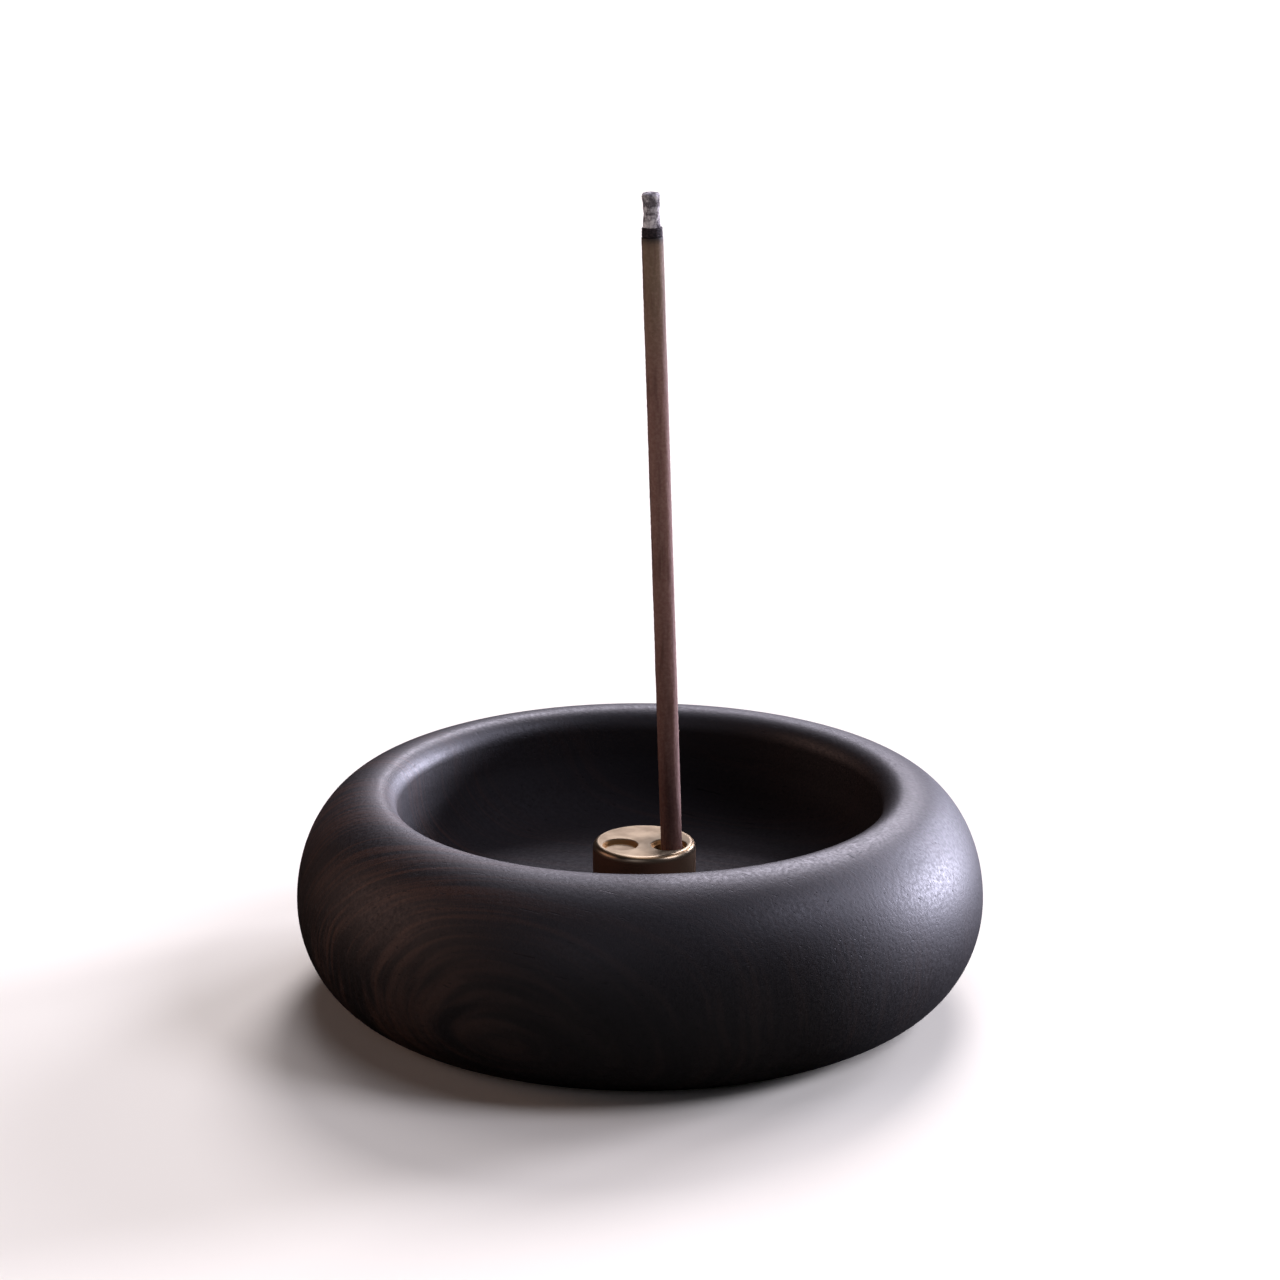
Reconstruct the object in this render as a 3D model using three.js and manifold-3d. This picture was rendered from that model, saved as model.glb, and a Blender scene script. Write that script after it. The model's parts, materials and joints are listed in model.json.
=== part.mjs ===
// Incense burner: a turned hardwood bowl, a loose brass holder that stands in a seat in the bowl's
// floor, and a burning incense stick that leans a little in the holder's bore.
// Millimetres, +Z up. The origin is the centre of the ring that the bowl stands on.
// Seen from the front, which faces -Y, the holder's dish is on the left and its bore on the right.

import * as THREE from "three";
import { mergeVertices } from "three/addons/utils/BufferGeometryUtils.js";
import Module from "manifold-3d";

const wasm = await Module();
wasm.setup();

// Bowl, outside: one ellipse from the foot up to the belly, and one from the belly up to the crest.
const BOWL_RADIUS = 40;
const BOWL_HEIGHT = 25;
const BELLY_HEIGHT = 11.9; // where the bowl is widest
const FOOT_RADIUS = 30;
const CREST_RADIUS = 30.7; // the highest line of the rim

// Bowl, inside: a rounded lip, a straight wall, a cove and a flat floor with a round seat.
const MOUTH_RADIUS = 28.2;
const LIP_DROP = 2.5;
const FLOOR_RADIUS = 22;
const FLOOR_HEIGHT = 12.4;
const COVE_HEIGHT = 7.5;
const SEAT_RADIUS = 6.6;
const SEAT_HEIGHT = 11.25; // of the seat's bottom, 1.15 below the floor

// Bowl, underside: the lathe chuck's shallow recess leaves a ring to stand on.
const FOOT_RECESS_RADIUS = 22;
const FOOT_RECESS_DEPTH = 1.2;
const FOOT_RECESS_SLOPE = 0.8;

// Brass holder: a disc with a rounded top edge, standing against the right of its seat.
const HOLDER_RADIUS = 6;
const HOLDER_HEIGHT = 7;
const HOLDER_SHIFT = 0.5;
const HOLDER_CHAMFER = 0.4; // round its bottom edge
const HOLDER_ROUND = 0.7; // round its top edge

// The holder's sockets: a dish to stand a stub in, and a countersunk bore for a stick.
const DISH = { x: -2.8, y: -1.3, rim: 2.15, floor: 1.85, depth: 0.6 };
const STICK_SOCKET = { x: 2.85, y: -1.3, rim: 2.15, floor: 1.95, depth: 0.5, bore: 1.8, boreDepth: 5.6 };

// Incense stick: unburnt paste, a charred band where it glows, and the ash that still stands on it.
const STICK_RADIUS = 1.25;
const STICK_LEAN = THREE.MathUtils.degToRad(1.82);
const STICK_OFFSET = 0.4; // how far right of its bore's axis the stick stands, half way down the bore
const STICK_END_GAP = 0.1; // between the stick's end and the bottom of its bore
const TIP_HEIGHT = 95.2; // the top of the ash, above the table
const EMBER_RADIUS = 1.2;
const EMBER_LENGTH = 1;
const ASH_LENGTH = 4;
const ASH_FOOT_RADIUS = 1.02;
const ASH_NECK_RADIUS = 0.94;
const ASH_HEAD_RADIUS = 1.06;
const ASH_END_ROUND = 0.4;
const PIECE_GAP = 0.04; // between the stick, the char and the ash

// How finely round shapes are divided.
const BOWL_SIDES = 64;
const HOLDER_SIDES = 64;
const SOCKET_SIDES = 32;
const STICK_SIDES = 24;
const ARC_STEPS = 5; // each circular or elliptical arc gets twice as many
const CUTTER_OVERSHOOT = 1; // the cutters run this far past the face that they enter

const QUARTER = Math.PI / 2;

const MATERIALS = {
  wood: { color: 0x231c1c, roughness: 0.48, metalness: 0 },
  brass: { color: 0xb89a6a, roughness: 0.32, metalness: 1 },
  incense: { color: 0x5a4036, roughness: 0.9, metalness: 0 },
  char: { color: 0x171010, roughness: 0.95, metalness: 0 },
  ash: { color: 0xa09b98, roughness: 1, metalness: 0 },
};

// A path of (radius, height) points turned about the Z axis.
function turned(path, sides) {
  return new THREE.LatheGeometry(path.getPoints(ARC_STEPS), sides).rotateX(QUARTER);
}

function part(name, geometry, material) {
  const mesh = new THREE.Mesh(geometry, new THREE.MeshStandardMaterial(MATERIALS[material]));
  mesh.name = name;
  return mesh;
}

// A closed geometry as a solid that can be cut.
function solidOf(geometry) {
  const bare = geometry.clone().deleteAttribute("normal").deleteAttribute("uv");
  const merged = mergeVertices(bare);
  const vertProperties = new Float32Array(merged.attributes.position.array);
  const triVerts = new Uint32Array(merged.index.array);
  return new wasm.Manifold(new wasm.Mesh({ numProp: 3, vertProperties, triVerts }));
}

function geometryOf(solid) {
  const mesh = solid.getMesh();
  const geometry = new THREE.BufferGeometry();
  geometry.setAttribute("position", new THREE.BufferAttribute(mesh.vertProperties, 3));
  geometry.setIndex(new THREE.BufferAttribute(mesh.triVerts, 1));
  geometry.computeVertexNormals();
  return geometry;
}

function bowl() {
  const bulge = BOWL_RADIUS - FOOT_RADIUS;
  const shoulder = BOWL_RADIUS - CREST_RADIUS;
  const upperHeight = BOWL_HEIGHT - BELLY_HEIGHT;
  const lipWidth = CREST_RADIUS - MOUTH_RADIUS;
  const coveWidth = MOUTH_RADIUS - FLOOR_RADIUS;
  const section = new THREE.Path()
    .moveTo(0, FOOT_RECESS_DEPTH)
    .lineTo(FOOT_RECESS_RADIUS - FOOT_RECESS_SLOPE, FOOT_RECESS_DEPTH)
    .lineTo(FOOT_RECESS_RADIUS, 0)
    .lineTo(FOOT_RADIUS, 0)
    .absellipse(FOOT_RADIUS, BELLY_HEIGHT, bulge, BELLY_HEIGHT, -QUARTER, 0, false)
    .absellipse(CREST_RADIUS, BELLY_HEIGHT, shoulder, upperHeight, 0, QUARTER, false)
    .absellipse(CREST_RADIUS, BOWL_HEIGHT - LIP_DROP, lipWidth, LIP_DROP, QUARTER, 2 * QUARTER, false)
    .absellipse(FLOOR_RADIUS, FLOOR_HEIGHT + COVE_HEIGHT, coveWidth, COVE_HEIGHT, 0, -QUARTER, true)
    .lineTo(SEAT_RADIUS, FLOOR_HEIGHT)
    .lineTo(SEAT_RADIUS, SEAT_HEIGHT)
    .lineTo(0, SEAT_HEIGHT);
  return part("bowl", turned(section, BOWL_SIDES), "wood");
}

// The cutter for one socket: a shallow dish below the origin, and the bore in its floor, if it has one.
function socketCutter({ rim, floor, depth, bore, boreDepth }) {
  const section = new THREE.Path();
  if (bore) section.moveTo(0, -boreDepth).lineTo(bore, -boreDepth).lineTo(bore, -depth);
  else section.moveTo(0, -depth);
  if (bore !== floor) section.lineTo(floor, -depth);
  section.lineTo(rim, 0).lineTo(rim, CUTTER_OVERSHOOT).lineTo(0, CUTTER_OVERSHOOT);
  return turned(section, SOCKET_SIDES);
}

function holder() {
  const chamfered = HOLDER_RADIUS - HOLDER_CHAMFER;
  const rounded = HOLDER_RADIUS - HOLDER_ROUND;
  const shoulder = HOLDER_HEIGHT - HOLDER_ROUND;
  const section = new THREE.Path()
    .moveTo(0, 0)
    .lineTo(chamfered, 0)
    .lineTo(HOLDER_RADIUS, HOLDER_CHAMFER)
    .lineTo(HOLDER_RADIUS, shoulder)
    .absellipse(rounded, shoulder, HOLDER_ROUND, HOLDER_ROUND, 0, QUARTER, false)
    .lineTo(0, HOLDER_HEIGHT);
  let disc = solidOf(turned(section, HOLDER_SIDES));
  for (const socket of [DISH, STICK_SOCKET]) {
    const cutter = socketCutter(socket).translate(socket.x, socket.y, HOLDER_HEIGHT);
    disc = disc.subtract(solidOf(cutter));
  }
  return part("stick_holder", geometryOf(disc), "brass");
}

function rod(radius, length) {
  const section = new THREE.Path().moveTo(0, 0).lineTo(radius, 0).lineTo(radius, length).lineTo(0, length);
  return turned(section, STICK_SIDES);
}

// The ash is thinner than the stick that it came from, waisted, with a rounded top.
function ashShape() {
  const shoulder = ASH_LENGTH - ASH_END_ROUND;
  const flat = ASH_HEAD_RADIUS - ASH_END_ROUND;
  const section = new THREE.Path()
    .moveTo(0, 0)
    .lineTo(ASH_FOOT_RADIUS, 0)
    .quadraticCurveTo(ASH_NECK_RADIUS, shoulder / 2, ASH_HEAD_RADIUS, shoulder)
    .absellipse(flat, shoulder, ASH_END_ROUND, ASH_END_ROUND, 0, QUARTER, false)
    .lineTo(0, ASH_LENGTH);
  return turned(section, STICK_SIDES);
}

// The stick and what has burnt of it, about a pivot half way down its bore, leaning towards -X.
// The pivot's height is measured from the holder's foot, and every length along the stick from the pivot.
function burningStick() {
  const pivot = HOLDER_HEIGHT - STICK_SOCKET.boreDepth / 2;
  const bottom = STICK_END_GAP - STICK_SOCKET.boreDepth / 2;
  const top = (TIP_HEIGHT - SEAT_HEIGHT - pivot) / Math.cos(STICK_LEAN);
  const ash = top - ASH_LENGTH;
  const ember = ash - PIECE_GAP - EMBER_LENGTH;
  const stickLength = ember - PIECE_GAP - bottom;
  const pieces = [
    [part("incense_stick", rod(STICK_RADIUS, stickLength), "incense"), bottom],
    [part("ember_band", rod(EMBER_RADIUS, EMBER_LENGTH), "char"), ember],
    [part("ash_tip", ashShape(), "ash"), ash],
  ];
  const leaning = new THREE.Group();
  for (const [piece, height] of pieces) {
    piece.position.z = height;
    leaning.add(piece);
  }
  leaning.position.set(STICK_SOCKET.x + STICK_OFFSET, STICK_SOCKET.y, pivot);
  leaning.rotation.y = -STICK_LEAN;
  return leaning;
}

const loaded = new THREE.Group();
loaded.position.set(HOLDER_SHIFT, 0, SEAT_HEIGHT);
loaded.add(holder(), burningStick());

const burner = new THREE.Group();
burner.add(bowl(), loaded);

export default burner;
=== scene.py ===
"""The looks of the incense burner: a turned bowl of dark open-grained wood, a brass holder and a burning
incense stick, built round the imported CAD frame. Lengths are in metres."""

import json
import math

import bpy
from mathutils import Matrix, Vector, noise


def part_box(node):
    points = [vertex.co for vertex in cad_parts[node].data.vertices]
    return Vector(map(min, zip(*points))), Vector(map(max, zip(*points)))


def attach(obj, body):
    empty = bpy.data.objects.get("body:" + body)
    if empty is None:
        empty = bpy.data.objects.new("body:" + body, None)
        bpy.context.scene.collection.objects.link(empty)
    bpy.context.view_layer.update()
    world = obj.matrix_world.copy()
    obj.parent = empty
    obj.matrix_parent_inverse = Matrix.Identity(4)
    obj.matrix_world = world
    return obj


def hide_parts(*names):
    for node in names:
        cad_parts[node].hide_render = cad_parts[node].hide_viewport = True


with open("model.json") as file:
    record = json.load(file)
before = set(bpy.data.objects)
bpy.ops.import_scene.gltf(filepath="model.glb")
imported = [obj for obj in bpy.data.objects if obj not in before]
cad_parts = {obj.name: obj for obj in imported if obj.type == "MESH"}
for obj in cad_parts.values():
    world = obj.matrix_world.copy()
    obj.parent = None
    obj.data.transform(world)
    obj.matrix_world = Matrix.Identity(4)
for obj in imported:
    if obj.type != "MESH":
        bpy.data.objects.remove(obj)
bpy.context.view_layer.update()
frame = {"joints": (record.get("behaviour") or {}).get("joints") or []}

MM = 0.001

# Camera: it looks along +Y and down, with the bowl's foot below the middle of the picture.
CAMERA_PITCH = math.radians(16.8)
CAMERA_DISTANCE = 529.6 * MM
CAMERA_RISE = 40.86 * MM  # of the line of sight above the origin, square to that line
CAMERA_LENS = 126.56

# Bowl, as in the CAD, whose box gives its radius and height.
BELLY_HEIGHT = 11.9 * MM
FOOT_RADIUS = 30 * MM
CREST_RADIUS = 30.7 * MM
MOUTH_RADIUS = 28.2 * MM
LIP_DROP = 2.5 * MM
FLOOR_RADIUS = 22 * MM
FLOOR_HEIGHT = 12.4 * MM
COVE_HEIGHT = 7.5 * MM
SEAT_RADIUS = 6.6 * MM
FOOT_RECESS_RADIUS = 22 * MM
FOOT_RECESS_DEPTH = 1.2 * MM
FOOT_RECESS_SLOPE = 0.8 * MM
FOOT_EDGE = 0.35 * MM
SEAT_EDGE = 0.12 * MM

# Holder, as in the CAD. A socket is (x, y, rim radius, floor radius, depth, bore radius, bore depth).
# Its place is measured from the holder's axis.
HOLDER_ROUND = 0.7 * MM
HOLDER_CHAMFER = 0.4 * MM
HOLDER_EDGE = 0.05 * MM  # the softening of its sharp edges
HOLDER_EDGE_ANGLE = 28  # degrees; edges sharper than this are softened
SOCKET_CORNER = 0.1 * MM  # the softening where a socket's floor meets its side
HOLDER_WALL_START = 5.7 * MM  # the radius at which its tarnished wall starts
HOLDER_WORN_WIDTH = 0.5 * MM  # of the worn edge inside that radius
DISH = (-2.8 * MM, -1.3 * MM, 2.15 * MM, 1.85 * MM, 0.6 * MM, 0, 0)
STICK_SOCKET = (2.85 * MM, -1.3 * MM, 2.15 * MM, 1.95 * MM, 0.5 * MM, 1.8 * MM, 5.6 * MM)
PAINTED_SHADE_RADIUS = 4.8 * MM  # how far from the stick's bore painted shade darkens the brass
CUTTER_OVERSHOOT = 1 * MM

# Stick, char and ash. The CAD's boxes give their places and lengths. Their radii are a little less than in
# the CAD, which leaves room for their roughness.
STICK_RADIUS = 1.23 * MM
EMBER_RADIUS = 1.17 * MM
ASH_RADII = (0.98 * MM, 0.9 * MM, 1.02 * MM)  # at its foot, waist and head
ASH_END_ROUND = 0.35 * MM
ASH_CRUMBS = 0.12 * MM  # how far its crumbs may stand out

# How finely shapes are divided.
BOWL_SIDES = 360
HOLDER_SIDES = 128
SOCKET_SIDES = 96
STICK_SIDES = 64
STICK_STEPS = 420  # along its length
EMBER_STEPS = 14
ASH_STEPS = 60

# Studio: (name, azimuth, elevation, diameter, power, colour) of each light, in degrees, metres and watts, as
# if it were 1 m away. Four of them make up one tall window, which leans from the far right, low down, to the
# back, high up. A warm wall is on the left. They all stand far away, so that they light the floor evenly.
FLOOR_HALF_WIDTH = 40.0
LIGHT_DISTANCE = 10.0
LIGHT_AIM = 20 * MM
DAYLIGHT = (0.80, 0.79, 1.0)
SKYLIGHT = (0.90, 0.85, 1.0)
WARM_WALL = (1.0, 0.62, 0.53)
BACKGROUND = (0.9, 0.9, 0.91, 1)  # only the camera sees it
LIGHTS = (
    ("window_low", 60, 8, 0.26, 18, DAYLIGHT),
    ("window_middle", 40, 18, 0.32, 7, DAYLIGHT),
    ("window_high", 12, 36, 0.36, 8, SKYLIGHT),
    ("window_top", 0, 60, 0.45, 2, SKYLIGHT),
    ("ceiling", 0, 85, 0.5, 1.2, DAYLIGHT),
    ("right_fill", 100, 42, 0.4, 4.5, DAYLIGHT),
    ("front_fill", -160, 30, 0.6, 0.6, DAYLIGHT),
    ("left_wall", -85, 15, 0.7, 1.7, WARM_WALL),
)

# The wood's grain: the way its fibres run, and the way out from the tree's middle through its rings.
FIBRE = Vector((-0.9, 0.4, 0.1)).normalized()
OUTWARD = Vector((-0.35, -0.8, -0.45)).normalized()
PITH_DISTANCE = 60 * MM
RING_SPACING = 0.55 * MM
BROWNER_SIDE = (-0.97, -0.2, 0.0)  # the side of the block where the layers are browner
BROWNER_FROM = 11 * MM  # how far to that side they start to be browner
BROWNER_TO = 36 * MM
INSIDE_EDGE = 0.8 * MM  # over which the duller inside of the bowl changes into its outside


# ---------------------------------------------------------------- meshes

def arc(centre, radii, start, end, steps):
    """Points (radius, height) along an elliptical arc, its angles in degrees from the outward direction."""
    points = []
    for i in range(steps + 1):
        angle = math.radians(start + (end - start) * i / steps)
        points.append((centre[0] + radii[0] * math.cos(angle), centre[1] + radii[1] * math.sin(angle)))
    return points


def rounded(corner, before, after, reach, steps=5):
    """Points that turn an outline's corner smoothly, starting and ending that reach away from it."""
    corner, before, after = Vector(corner), Vector(before), Vector(after)
    start = corner + (before - corner).normalized() * reach
    end = corner + (after - corner).normalized() * reach
    points = []
    for i in range(steps + 1):
        t = i / steps
        point = start.lerp(corner, t).lerp(corner.lerp(end, t), t)
        points.append((point.x, point.y))
    return points


def divided(start, end, steps):
    """Points between two others, without the two."""
    a, b = Vector(start), Vector(end)
    return [tuple(a.lerp(b, i / steps)) for i in range(1, steps)]


def lathe(name, section, sides):
    """A closed mesh from a section of (radius, height) points that starts and ends on the axis."""
    vertices = [(0, 0, section[0][1])]
    for radius, height in section[1:-1]:
        for k in range(sides):
            turn = 2 * math.pi * k / sides
            vertices.append((radius * math.cos(turn), radius * math.sin(turn), height))
    vertices.append((0, 0, section[-1][1]))
    rings = len(section) - 2
    last = len(vertices) - 1
    faces = []
    for k in range(sides):
        step = (k + 1) % sides
        faces.append((0, 1 + step, 1 + k))
        for ring in range(rings - 1):
            low, high = 1 + ring * sides, 1 + (ring + 1) * sides
            faces.append((low + k, low + step, high + step, high + k))
        top = 1 + (rings - 1) * sides
        faces.append((top + k, top + step, last))
    mesh = bpy.data.meshes.new(name)
    mesh.from_pydata(vertices, [], faces)
    mesh.shade_smooth()
    made = bpy.data.objects.new(name, mesh)
    bpy.context.scene.collection.objects.link(made)
    return made


def roughen(made, height, grain, seed, octaves=3):
    """Moves each vertex along its normal by noise of that height. The grain is its size in x, y and z."""
    offset = Vector((seed * 7.3, seed * 3.1, seed * 5.7))  # so that each seed has noise of its own
    moves = []
    for vertex in made.data.vertices:
        at = Vector((vertex.co.x / grain[0], vertex.co.y / grain[1], vertex.co.z / grain[2])) + offset
        moves.append(vertex.normal * height * noise.fractal(at, 0.7, 2.1, octaves))
    for vertex, move in zip(made.data.vertices, moves):
        vertex.co += move


def with_modifiers(made):
    """Puts the result of an object's modifiers in its mesh."""
    evaluated = made.evaluated_get(bpy.context.evaluated_depsgraph_get())
    mesh = bpy.data.meshes.new_from_object(evaluated)
    made.modifiers.clear()
    made.data = mesh


# ---------------------------------------------------------------- materials

UP = (0, 0, 1)
FLAT = (1, 1, 0)  # a place scaled by this is seen from above


def node(tree, kind, inputs=None, **settings):
    """A new node, with its settings, and its inputs set to values or linked from sockets."""
    made = tree.nodes.new(kind)
    for key, value in settings.items():
        setattr(made, key, value)
    for key, value in (inputs or {}).items():
        if isinstance(value, bpy.types.NodeSocket):
            tree.links.new(value, made.inputs[key])
        else:
            made.inputs[key].default_value = value
    return made


def maths(tree, operation, a, b=0.0):
    return node(tree, "ShaderNodeMath", {0: a, 1: b}, operation=operation).outputs[0]


def blended(tree, share, a, b):
    """Two colours mixed. The share is that of the second."""
    return node(tree, "ShaderNodeMix", {0: share, 6: a, 7: b}, data_type="RGBA").outputs[2]


def ranged(tree, value, low, high, to_low=0.0, to_high=1.0):
    """The value's stretch from low to high, mapped smoothly onto another stretch."""
    inputs = {"Value": value, "From Min": low, "From Max": high, "To Min": to_low, "To Max": to_high}
    return node(tree, "ShaderNodeMapRange", inputs, interpolation_type="SMOOTHSTEP").outputs["Result"]


def noise_at(tree, place, size, detail=2.0, roughness=0.5):
    """Noise whose bumps are about the size given."""
    inputs = {"Vector": place, "Scale": 1 / size, "Detail": detail, "Roughness": roughness}
    return node(tree, "ShaderNodeTexNoise", inputs).outputs["Fac"]


def combined(tree, x, y, z):
    return node(tree, "ShaderNodeCombineXYZ", {0: x, 1: y, 2: z}).outputs[0]


def scaled(tree, place, factors):
    """A place with its x, y and z multiplied by the factors."""
    return node(tree, "ShaderNodeVectorMath", {0: place, 1: factors}, operation="MULTIPLY").outputs[0]


def distance_between(tree, place, point=(0, 0, 0)):
    offset = node(tree, "ShaderNodeVectorMath", {0: place, 1: point}, operation="SUBTRACT").outputs[0]
    return node(tree, "ShaderNodeVectorMath", {0: offset}, operation="LENGTH").outputs["Value"]


def along(tree, place, direction):
    """How far a place is from the origin along a direction."""
    inputs = {0: place, 1: tuple(direction)}
    return node(tree, "ShaderNodeVectorMath", inputs, operation="DOT_PRODUCT").outputs["Value"]


def new_material(name):
    """A new material, its node tree, its Principled shader and the place in the piece's own coordinates."""
    made = bpy.data.materials.new(name)
    made.use_nodes = True
    tree = made.node_tree
    tree.nodes.clear()
    shader = node(tree, "ShaderNodeBsdfPrincipled")
    node(tree, "ShaderNodeOutputMaterial", {"Surface": shader.outputs[0]})
    place = node(tree, "ShaderNodeTexCoord").outputs["Object"]
    return made, tree, shader, place


def bumped(tree, shader, height):
    """Bump from a height in metres."""
    bump = node(tree, "ShaderNodeBump", {"Height": height, "Distance": 1.0, "Strength": 1.0})
    tree.links.new(bump.outputs[0], shader.inputs["Normal"])


def dark_wood():
    """Nearly black wood, oiled to a satin sheen outside and duller inside, with thin brown layers, open
    pores and a fine texture."""
    made, tree, shader, place = new_material("dark_wood")
    side = FIBRE.cross(OUTWARD).normalized()
    fibre, out, cross = (along(tree, place, d) for d in (FIBRE, OUTWARD, side))

    # Distance from the pith, which the tree's slow wandering bends.
    deep = maths(tree, "ADD", out, PITH_DISTANCE)
    square = maths(tree, "ADD", maths(tree, "POWER", deep, 2.0), maths(tree, "POWER", cross, 2.0))
    wander = noise_at(tree, combined(tree, maths(tree, "MULTIPLY", fibre, 0.35), out, cross), 16 * MM, 1.0)
    wander = maths(tree, "MULTIPLY", maths(tree, "SUBTRACT", wander, 0.5), 5 * MM)
    ring = maths(tree, "ADD", maths(tree, "SQRT", square), wander)

    # Layers: thin ones inside broad ones, each many times longer than it is thick.
    long_fibre = maths(tree, "MULTIPLY", fibre, 0.02)
    long_cross = maths(tree, "MULTIPLY", cross, 0.05)
    layered = combined(tree, long_fibre, ring, long_cross)
    thin = ranged(tree, noise_at(tree, layered, RING_SPACING, 2.0, 0.6), 0.42, 0.68)
    broad = ranged(tree, noise_at(tree, layered, 7 * MM, 1.0), 0.38, 0.62)
    browner = ranged(tree, along(tree, place, BROWNER_SIDE), BROWNER_FROM, BROWNER_TO, 0.12, 1.0)
    thin = maths(tree, "MULTIPLY", thin, browner)

    # Pores: short tubes along the fibre, seen as dashes on the side grain and dots on the end grain. Their
    # darker colour below is painted shade in their pits.
    tubes = combined(tree, maths(tree, "MULTIPLY", fibre, 0.07), out, cross)
    pores = ranged(tree, noise_at(tree, tubes, 0.3 * MM, 1.0), 0.66, 0.78)
    grain = noise_at(tree, place, 0.42 * MM, 3.0, 0.55)

    black = (0.0095, 0.0075, 0.0078, 1)
    brown = (0.024, 0.014, 0.011, 1)
    rust = (0.055, 0.023, 0.013, 1)
    pore_shade = (0.004, 0.003, 0.003, 1)
    rusty = maths(tree, "MULTIPLY", thin, maths(tree, "MULTIPLY", broad, 0.8))
    colour = blended(tree, maths(tree, "MULTIPLY", thin, 0.75), black, brown)
    colour = blended(tree, rusty, colour, rust)
    colour = blended(tree, maths(tree, "MULTIPLY", pores, 0.75), colour, pore_shade)
    tree.links.new(colour, shader.inputs["Base Color"])

    # Inside: within the mouth's radius, above the foot and below the lip.
    radius = distance_between(tree, scaled(tree, place, FLAT))
    height = along(tree, place, UP)
    hollow = ranged(tree, radius, MOUTH_RADIUS, MOUTH_RADIUS + INSIDE_EDGE, 1.0, 0.0)
    above_foot = ranged(tree, height, 5 * MM, 8 * MM)
    below_mouth = ranged(tree, height, FLOOR_HEIGHT + 2 * MM, FLOOR_HEIGHT + COVE_HEIGHT + 3 * MM, 1.0, 0.0)
    inside = maths(tree, "MULTIPLY", hollow, maths(tree, "MULTIPLY", above_foot, below_mouth))

    rough = ranged(tree, grain, 0.3, 0.7, 0.46, 0.58)
    rough = maths(tree, "ADD", rough, maths(tree, "MULTIPLY", pores, 0.12))
    rough = maths(tree, "ADD", rough, maths(tree, "MULTIPLY", inside, 0.24))
    tree.links.new(rough, shader.inputs["Roughness"])
    tree.links.new(ranged(tree, inside, 0.0, 1.0, 0.5, 0.16), shader.inputs["Specular IOR Level"])

    dents = maths(tree, "MULTIPLY", grain, 0.028 * MM)
    sunk = maths(tree, "MULTIPLY", pores, -0.012 * MM)
    raised = maths(tree, "MULTIPLY", thin, 0.004 * MM)
    bumped(tree, shader, maths(tree, "ADD", dents, maths(tree, "ADD", sunk, raised)))
    return made


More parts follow.
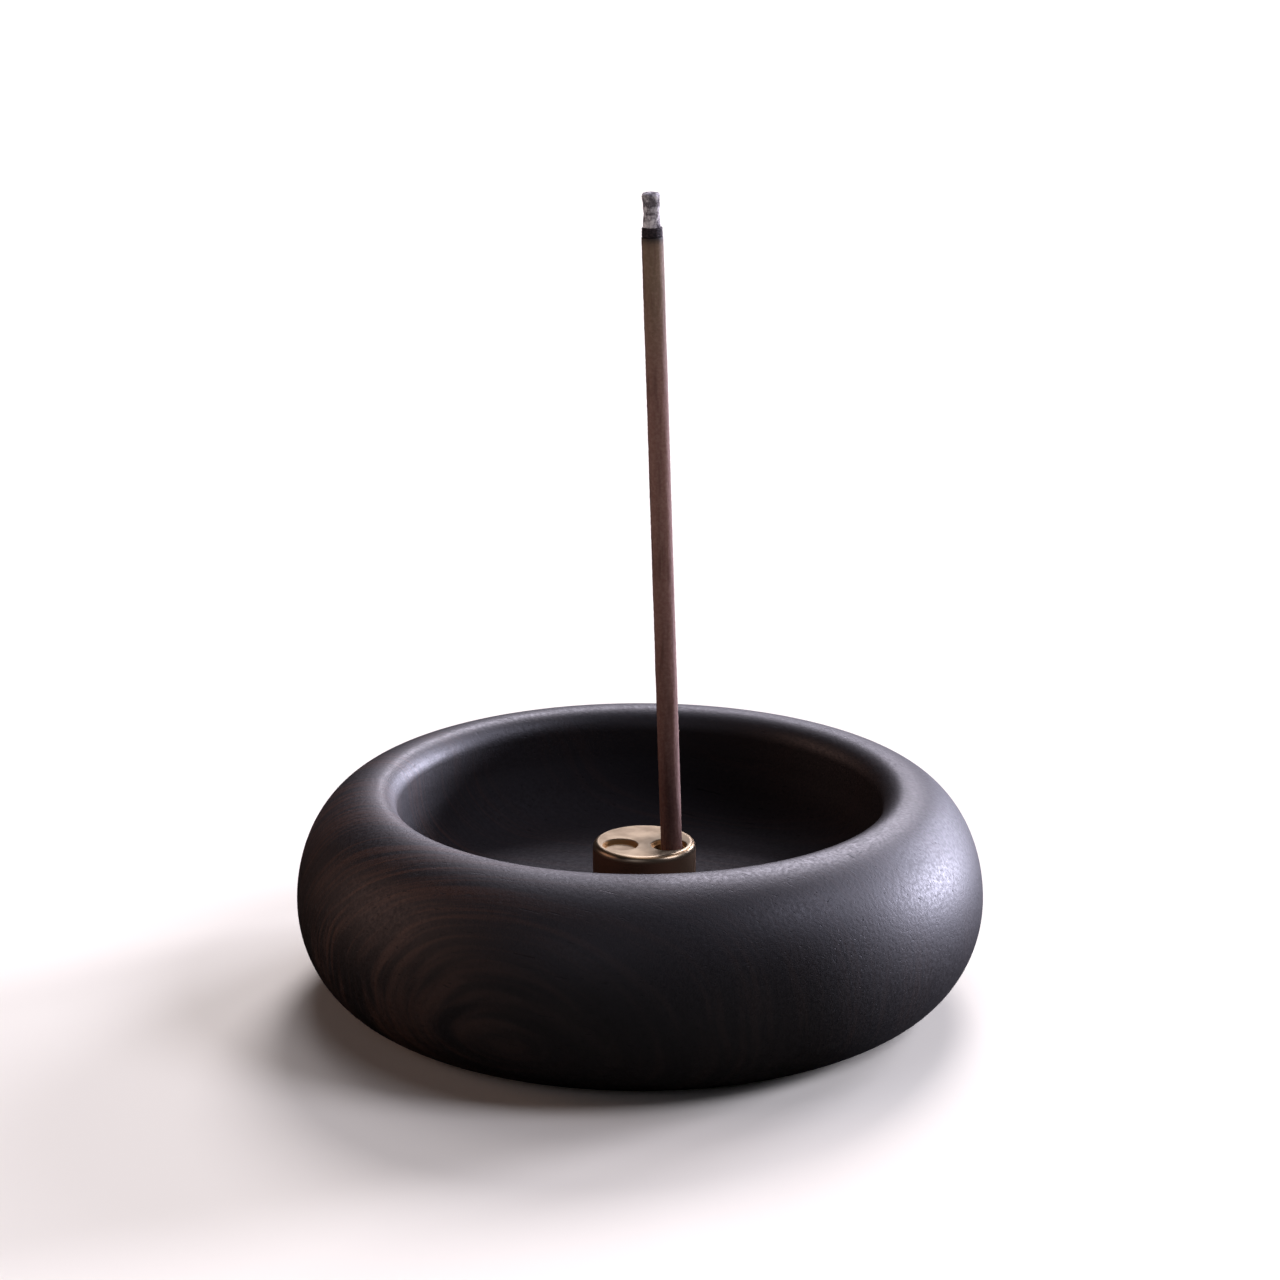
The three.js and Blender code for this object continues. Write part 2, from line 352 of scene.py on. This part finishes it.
def turned_brass(centre, top):
    """Brass faced off on a lathe and gone matt, except on its worn edge. Its wall was never polished and is
    brown. Painted shade darkens the walls of its dish and bore in brown, and the bore's rim and the face
    round it, for the stick's shadow."""
    made, tree, shader, place = new_material("turned_brass")
    inputs = {0: place, 1: tuple(centre)}
    from_centre = node(tree, "ShaderNodeVectorMath", inputs, operation="SUBTRACT").outputs[0]
    flat = scaled(tree, from_centre, FLAT)
    radius = distance_between(tree, flat)
    from_bore = distance_between(tree, flat, (STICK_SOCKET[0], STICK_SOCKET[1], 0))
    from_dish = distance_between(tree, flat, (DISH[0], DISH[1], 0))
    height = along(tree, place, UP)
    round_axis = combined(tree, radius, 0.0, maths(tree, "MULTIPLY", height, 0.3))
    rings = noise_at(tree, round_axis, 0.11 * MM, 2.0)
    dull = noise_at(tree, place, 2.2 * MM, 3.0, 0.5)
    fine = noise_at(tree, place, 0.25 * MM, 2.0)

    outer = ranged(tree, radius, HOLDER_WALL_START, HOLDER_WALL_START + 0.15 * MM)
    below = ranged(tree, height, top - 0.9 * MM, top - 0.35 * MM, 1.0, 0.0)
    tarnish = maths(tree, "MULTIPLY", outer, below)

    # Painted shade: dark in the stick's socket and at its rim, mottled by noise, and fading out across the
    # face round it, for the stick's shadow and the shade round its foot.
    bore_rim = STICK_SOCKET[2]
    painted_bore_shade = ranged(tree, from_bore, bore_rim, bore_rim + 0.5 * MM, 1.0, 0.0)
    painted_bore_shade = maths(tree, "MULTIPLY", painted_bore_shade, ranged(tree, fine, 0.2, 0.5, 0.6, 0.95))
    painted_shade_round_bore = ranged(tree, from_bore, bore_rim, PAINTED_SHADE_RADIUS, 0.7, 0.0)
    painted_bore_shade = maths(tree, "MAXIMUM", painted_bore_shade, painted_shade_round_bore)

    # Painted shade: a darker brown on the sunken walls below the face, in the dish round its floor and in
    # the stick's socket and bore.
    dish_wall = ranged(tree, from_dish, DISH[3] - 0.3 * MM, DISH[3])
    sunk = ranged(tree, height, top - 0.2 * MM, top - 0.02 * MM, 1.0, 0.0)
    painted_recess_shade = maths(tree, "MULTIPLY", sunk, maths(tree, "SUBTRACT", 1.0, outer))
    painted_recess_shade = maths(tree, "MULTIPLY", dish_wall, painted_recess_shade)

    clean = (0.375, 0.30, 0.195, 1)
    dulled = (0.28, 0.215, 0.135, 1)
    tarnished = (0.23, 0.125, 0.075, 1)
    shaded_brass = (0.15, 0.12, 0.075, 1)
    recess_shade_brown = (0.34, 0.19, 0.07, 1)
    colour = blended(tree, ranged(tree, dull, 0.38, 0.66, 0.0, 0.7), clean, dulled)
    colour = blended(tree, tarnish, colour, tarnished)
    colour = blended(tree, painted_bore_shade, colour, shaded_brass)
    colour = blended(tree, painted_recess_shade, colour, recess_shade_brown)
    tree.links.new(colour, shader.inputs["Base Color"])
    shader.inputs["Metallic"].default_value = 1.0

    edge = ranged(tree, radius, HOLDER_WALL_START - HOLDER_WORN_WIDTH, HOLDER_WALL_START - 0.1 * MM)
    worn = maths(tree, "MULTIPLY", edge, maths(tree, "SUBTRACT", 1.0, tarnish))
    satin = ranged(tree, dull, 0.3, 0.7, 0.70, 0.78)
    rough = maths(tree, "SUBTRACT", satin, maths(tree, "MULTIPLY", worn, 0.42))
    tree.links.new(rough, shader.inputs["Roughness"])

    turned = maths(tree, "MULTIPLY", rings, 0.002 * MM)
    bumped(tree, shader, maths(tree, "ADD", turned, maths(tree, "MULTIPLY", fine, 0.003 * MM)))
    return made


def incense_paste(high):
    """Pressed incense powder: red-brown below, and olive-brown near the ember, where heat has dried it."""
    made, tree, shader, place = new_material("incense_paste")
    height = along(tree, place, UP)
    warmed = ranged(tree, height, high - 20 * MM, high - 4 * MM)
    scorched = ranged(tree, height, high - 1.2 * MM, high + 0.3 * MM)
    powder = noise_at(tree, place, 0.35 * MM, 4.0, 0.65)
    streaks = noise_at(tree, scaled(tree, place, (1, 1, 0.08)), 0.5 * MM, 2.0)

    red_brown = (0.145, 0.062, 0.044, 1)
    olive_brown = (0.130, 0.080, 0.042, 1)
    pale_grains = (0.25, 0.150, 0.105, 1)
    dark_streaks = (0.085, 0.030, 0.018, 1)
    burnt = (0.012, 0.009, 0.008, 1)
    colour = blended(tree, warmed, red_brown, olive_brown)
    colour = blended(tree, ranged(tree, powder, 0.35, 0.7, 0.0, 0.4), colour, pale_grains)
    colour = blended(tree, ranged(tree, streaks, 0.5, 0.72, 0.0, 0.6), colour, dark_streaks)
    colour = blended(tree, scorched, colour, burnt)
    tree.links.new(colour, shader.inputs["Base Color"])
    shader.inputs["Roughness"].default_value = 0.7
    shader.inputs["Specular IOR Level"].default_value = 0.45
    bumped(tree, shader, maths(tree, "MULTIPLY", maths(tree, "ADD", powder, streaks), 0.03 * MM))
    return made


def charred_paste():
    """Char, cracked into small grains."""
    made, tree, shader, place = new_material("charred_paste")
    grains = node(tree, "ShaderNodeTexVoronoi", {"Vector": place, "Scale": 1 / (0.35 * MM)},
                  feature="DISTANCE_TO_EDGE").outputs["Distance"]
    crack = ranged(tree, grains, 0.0, 0.12)  # 0 in a crack and 1 on a grain
    # The darker colour in the cracks is painted shade.
    crack_shade = (0.003, 0.002, 0.002, 1)
    on_grains = (0.030, 0.017, 0.019, 1)
    colour = blended(tree, crack, crack_shade, on_grains)
    tree.links.new(colour, shader.inputs["Base Color"])
    shader.inputs["Roughness"].default_value = 0.8
    bumped(tree, shader, maths(tree, "MULTIPLY", crack, 0.05 * MM))
    return made


def fallen_grey():
    """Ash: pale grey flakes over a darker core that shows between them."""
    made, tree, shader, place = new_material("ash")
    flakes = noise_at(tree, place, 0.9 * MM, 3.0, 0.55)
    specks = noise_at(tree, place, 0.16 * MM, 2.0)
    core = (0.075, 0.065, 0.07, 1)
    flake = (0.50, 0.47, 0.465, 1)
    speck = (0.55, 0.52, 0.52, 1)
    colour = blended(tree, ranged(tree, flakes, 0.40, 0.64), core, flake)
    colour = blended(tree, ranged(tree, specks, 0.5, 0.75, 0.0, 0.3), colour, speck)
    tree.links.new(colour, shader.inputs["Base Color"])
    shader.inputs["Roughness"].default_value = 0.95
    shader.inputs["Specular IOR Level"].default_value = 0.2
    bumped(tree, shader, maths(tree, "MULTIPLY", maths(tree, "ADD", flakes, specks), 0.06 * MM))
    return made


def pale_floor():
    """Plain and pale. Its warm tint makes up for the bluish lights."""
    made, _tree, shader, _place = new_material("pale_floor")
    shader.inputs["Base Color"].default_value = (0.86, 0.83, 0.69, 1)
    shader.inputs["Roughness"].default_value = 0.9
    shader.inputs["Specular IOR Level"].default_value = 0.1
    return made


# ---------------------------------------------------------------- pieces

def place_piece(made, material, body, node_name):
    """Gives a piece its material and body, and hides the CAD node that it stands for."""
    made.data.materials.clear()
    made.data.materials.append(material)
    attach(made, body)
    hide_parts(node_name)


def bowl():
    """The bowl, turned from one block."""
    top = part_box("bowl")[1]
    radius, height = top.x, top.z
    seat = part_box("stick_holder")[0].z
    recess, roof = FOOT_RECESS_RADIUS, FOOT_RECESS_DEPTH
    slope_top = (recess - FOOT_RECESS_SLOPE, roof)
    section = [(0, roof)]
    section += divided((0, roof), slope_top, steps=12)
    section += rounded(slope_top, (0, roof), (recess, 0), FOOT_EDGE)
    section += rounded((recess, 0), slope_top, (FOOT_RADIUS, 0), FOOT_EDGE)
    section += divided((recess + FOOT_EDGE, 0), (FOOT_RADIUS, 0), steps=6)

    foot, foot_radii = (FOOT_RADIUS, BELLY_HEIGHT), (radius - FOOT_RADIUS, BELLY_HEIGHT)
    crest, crest_radii = (CREST_RADIUS, BELLY_HEIGHT), (radius - CREST_RADIUS, height - BELLY_HEIGHT)
    lip, lip_radii = (CREST_RADIUS, height - LIP_DROP), (CREST_RADIUS - MOUTH_RADIUS, LIP_DROP)
    cove = (FLOOR_RADIUS, FLOOR_HEIGHT + COVE_HEIGHT)
    cove_radii = (MOUTH_RADIUS - FLOOR_RADIUS, COVE_HEIGHT)
    section += arc(foot, foot_radii, -90, 0, steps=30)
    section += arc(crest, crest_radii, 0, 90, steps=36)[1:]
    section += arc(lip, lip_radii, 90, 180, steps=16)[1:]
    section += arc(cove, cove_radii, 0, -90, steps=24)

    floor_edge = (FLOOR_RADIUS, FLOOR_HEIGHT)
    seat_rim, seat_foot = (SEAT_RADIUS, FLOOR_HEIGHT), (SEAT_RADIUS, seat)
    section += divided(floor_edge, (SEAT_RADIUS + SEAT_EDGE, FLOOR_HEIGHT), steps=12)
    section += rounded(seat_rim, floor_edge, seat_foot, SEAT_EDGE)
    section += rounded(seat_foot, seat_rim, (0, seat), SEAT_EDGE)
    section += divided((SEAT_RADIUS - SEAT_EDGE, seat), (0, seat), steps=5)
    section += [(0, seat)]
    made = lathe("turned_bowl", section, BOWL_SIDES)
    place_piece(made, dark_wood(), "bowl", "bowl")


def socket_cutter(socket):
    """What is cut out of the holder for one socket, with its origin on the holder's top face."""
    _x, _y, rim, floor, depth, bore, bore_depth = socket
    section = [(0, -bore_depth), (bore, -bore_depth), (bore, -depth)] if bore else [(0, -depth)]
    section += rounded((floor, -depth), (0, -depth), (rim, 0), SOCKET_CORNER, steps=4)
    section += [(rim, 0), (rim, CUTTER_OVERSHOOT), (0, CUTTER_OVERSHOOT)]
    return lathe("cutter", section, SOCKET_SIDES)


def stick_holder():
    """The brass disc with its dish and its bore."""
    low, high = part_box("stick_holder")
    centre = Vector(((low.x + high.x) / 2, (low.y + high.y) / 2, 0))
    radius = (high.x - low.x) / 2
    section = [(0, low.z)]
    section += [(radius - HOLDER_CHAMFER, low.z), (radius, low.z + HOLDER_CHAMFER)]
    edge_centre = (radius - HOLDER_ROUND, high.z - HOLDER_ROUND)
    section += arc(edge_centre, (HOLDER_ROUND, HOLDER_ROUND), 0, 90, steps=10)
    section += [(0, high.z)]
    made = lathe("brass_holder", section, HOLDER_SIDES)
    made.data.transform(Matrix.Translation(centre))
    cutters = []
    for socket in (DISH, STICK_SOCKET):
        cutter = socket_cutter(socket)
        cutter.data.transform(Matrix.Translation(centre + Vector((socket[0], socket[1], high.z))))
        cut = made.modifiers.new("socket", "BOOLEAN")
        cut.operation = "DIFFERENCE"
        cut.solver = "EXACT"
        cut.object = cutter
        cutters.append(cutter)
    soften = made.modifiers.new("soften", "BEVEL")
    soften.width = HOLDER_EDGE
    soften.segments = 3
    soften.limit_method = "ANGLE"
    soften.angle_limit = math.radians(HOLDER_EDGE_ANGLE)
    made.modifiers.new("shade", "WEIGHTED_NORMAL")
    with_modifiers(made)
    for cutter in cutters:
        bpy.data.objects.remove(cutter)
    place_piece(made, turned_brass(centre, high.z), "holder", "stick_holder")


def stick_axis():
    """The direction that the stick leans in, which it also slides along."""
    pull = next(joint for joint in frame["joints"] if joint["name"] == "stick_pull")
    return Vector(pull["axis"]).normalized()


def on_stick(name, node_name, section_of):
    """A round, upright piece for a CAD node of the leaning stick, and the matrix that puts it in its place.
    section_of gives its section for a length."""
    low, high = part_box(node_name)
    axis = stick_axis()
    width = high.y - low.y
    length = (high.z - low.z - width * math.sqrt(1 - axis.z ** 2)) / axis.z
    made = lathe(name, section_of(length), STICK_SIDES)
    turn = axis.to_track_quat("Z", "Y").to_matrix().to_4x4()
    start = (low + high) / 2 - axis * length / 2
    return made, Matrix.Translation(start) @ turn


def rod_section(radius, length, edge, steps):
    """The section of a rod with rounded ends."""
    section = [(0, 0)]
    section += rounded((radius, 0), (0, 0), (radius, length), edge, steps=4)
    section += divided((radius, edge), (radius, length - edge), steps)
    section += rounded((radius, length), (radius, 0), (0, length), edge, steps=4)
    return section + [(0, length)]


def incense_stick():
    """The unburnt part of the stick, with the marks of the die that it was pressed through."""
    made, where = on_stick("unburnt_stick", "incense_stick",
                           lambda length: rod_section(STICK_RADIUS, length, 0.15 * MM, STICK_STEPS))
    roughen(made, 0.022 * MM, (0.5 * MM, 0.5 * MM, 6 * MM), seed=1)
    roughen(made, 0.02 * MM, (0.45 * MM, 0.45 * MM, 0.45 * MM), seed=2)
    made.data.transform(where)
    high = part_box("incense_stick")[1].z
    place_piece(made, incense_paste(high), "stick", "incense_stick")


def ember_band():
    """The char under the ash."""
    made, where = on_stick("char_band", "ember_band",
                           lambda length: rod_section(EMBER_RADIUS, length, 0.12 * MM, EMBER_STEPS))
    roughen(made, 0.05 * MM, (0.35 * MM, 0.35 * MM, 0.35 * MM), seed=3)
    made.data.transform(where)
    place_piece(made, charred_paste(), "stick", "ember_band")


def ash_section(length):
    """The ash's outline: it narrows from its foot to its waist and widens again to a rounded head."""
    foot, waist, head = ASH_RADII
    end = ASH_END_ROUND
    section = [(0, 0)]
    for i in range(ASH_STEPS + 1):
        t = i / ASH_STEPS
        radius = foot * (1 - t) ** 2 + (4 * waist - foot - head) * t * (1 - t) + head * t ** 2
        section.append((radius, (length - end) * t))
    section += arc((head - end, length - end), (end, end), 0, 90, steps=6)[1:]
    return section + [(0, length)]


def ash_tip():
    """The ash that still stands, crumbled at its head."""
    made, where = on_stick("standing_ash", "ash_tip", lambda length: ash_section(length - ASH_CRUMBS))
    roughen(made, 0.09 * MM, (0.7 * MM, 0.7 * MM, 0.9 * MM), seed=4, octaves=4)
    roughen(made, 0.04 * MM, (0.2 * MM, 0.2 * MM, 0.2 * MM), seed=5)
    made.data.transform(where)
    place_piece(made, fallen_grey(), "stick", "ash_tip")


# ---------------------------------------------------------------- camera, floor and lights

def camera():
    """The camera, which sees the burner as the photo does."""
    data = bpy.data.cameras.new("camera")
    data.lens = CAMERA_LENS
    data.sensor_width = 36
    data.clip_start = 0.01
    made = bpy.data.objects.new("camera", data)
    sight = Vector((0, math.cos(CAMERA_PITCH), -math.sin(CAMERA_PITCH)))
    up = Vector((0, math.sin(CAMERA_PITCH), math.cos(CAMERA_PITCH)))
    made.location = up * CAMERA_RISE - sight * CAMERA_DISTANCE
    made.rotation_euler = (math.pi / 2 - CAMERA_PITCH, 0, 0)
    bpy.context.scene.collection.objects.link(made)
    bpy.context.scene.camera = made


def studio_floor():
    """A pale floor, far larger than the view. It shows no reflection of itself in the bowl's dark sheen."""
    half = FLOOR_HALF_WIDTH
    mesh = bpy.data.meshes.new("floor")
    corners = [(-half, -half, 0), (half, -half, 0), (half, half, 0), (-half, half, 0)]
    mesh.from_pydata(corners, [], [(0, 1, 2, 3)])
    mesh.materials.append(pale_floor())
    made = bpy.data.objects.new("floor", mesh)
    bpy.context.scene.collection.objects.link(made)
    made.visible_glossy = False


def soft_light(name, azimuth, elevation, size, power, colour):
    """A round area light that faces the bowl. Its azimuth is in degrees from +Y, the back, towards +X."""
    data = bpy.data.lights.new(name, "AREA")
    data.shape = "DISK"
    data.size = size * LIGHT_DISTANCE
    data.energy = power * LIGHT_DISTANCE ** 2
    data.color = colour
    made = bpy.data.objects.new(name, data)
    a, e = math.radians(azimuth), math.radians(elevation)
    away = Vector((math.sin(a) * math.cos(e), math.cos(a) * math.cos(e), math.sin(e)))
    made.location = away * LIGHT_DISTANCE + Vector((0, 0, LIGHT_AIM))
    made.rotation_mode = "QUATERNION"
    made.rotation_quaternion = away.to_track_quat("Z", "Y")
    made.visible_camera = False
    bpy.context.scene.collection.objects.link(made)


def lighting():
    """The lights, and a background that only the camera sees."""
    for light in LIGHTS:
        soft_light(*light)
    world = bpy.data.worlds.new("studio")
    world.use_nodes = True
    world.node_tree.nodes["Background"].inputs["Color"].default_value = BACKGROUND
    world.cycles_visibility.diffuse = False
    world.cycles_visibility.glossy = False
    bpy.context.scene.world = world
    bpy.context.scene.view_settings.view_transform = "Standard"


camera()
bowl()
stick_holder()
incense_stick()
ember_band()
ash_tip()
studio_floor()
lighting()
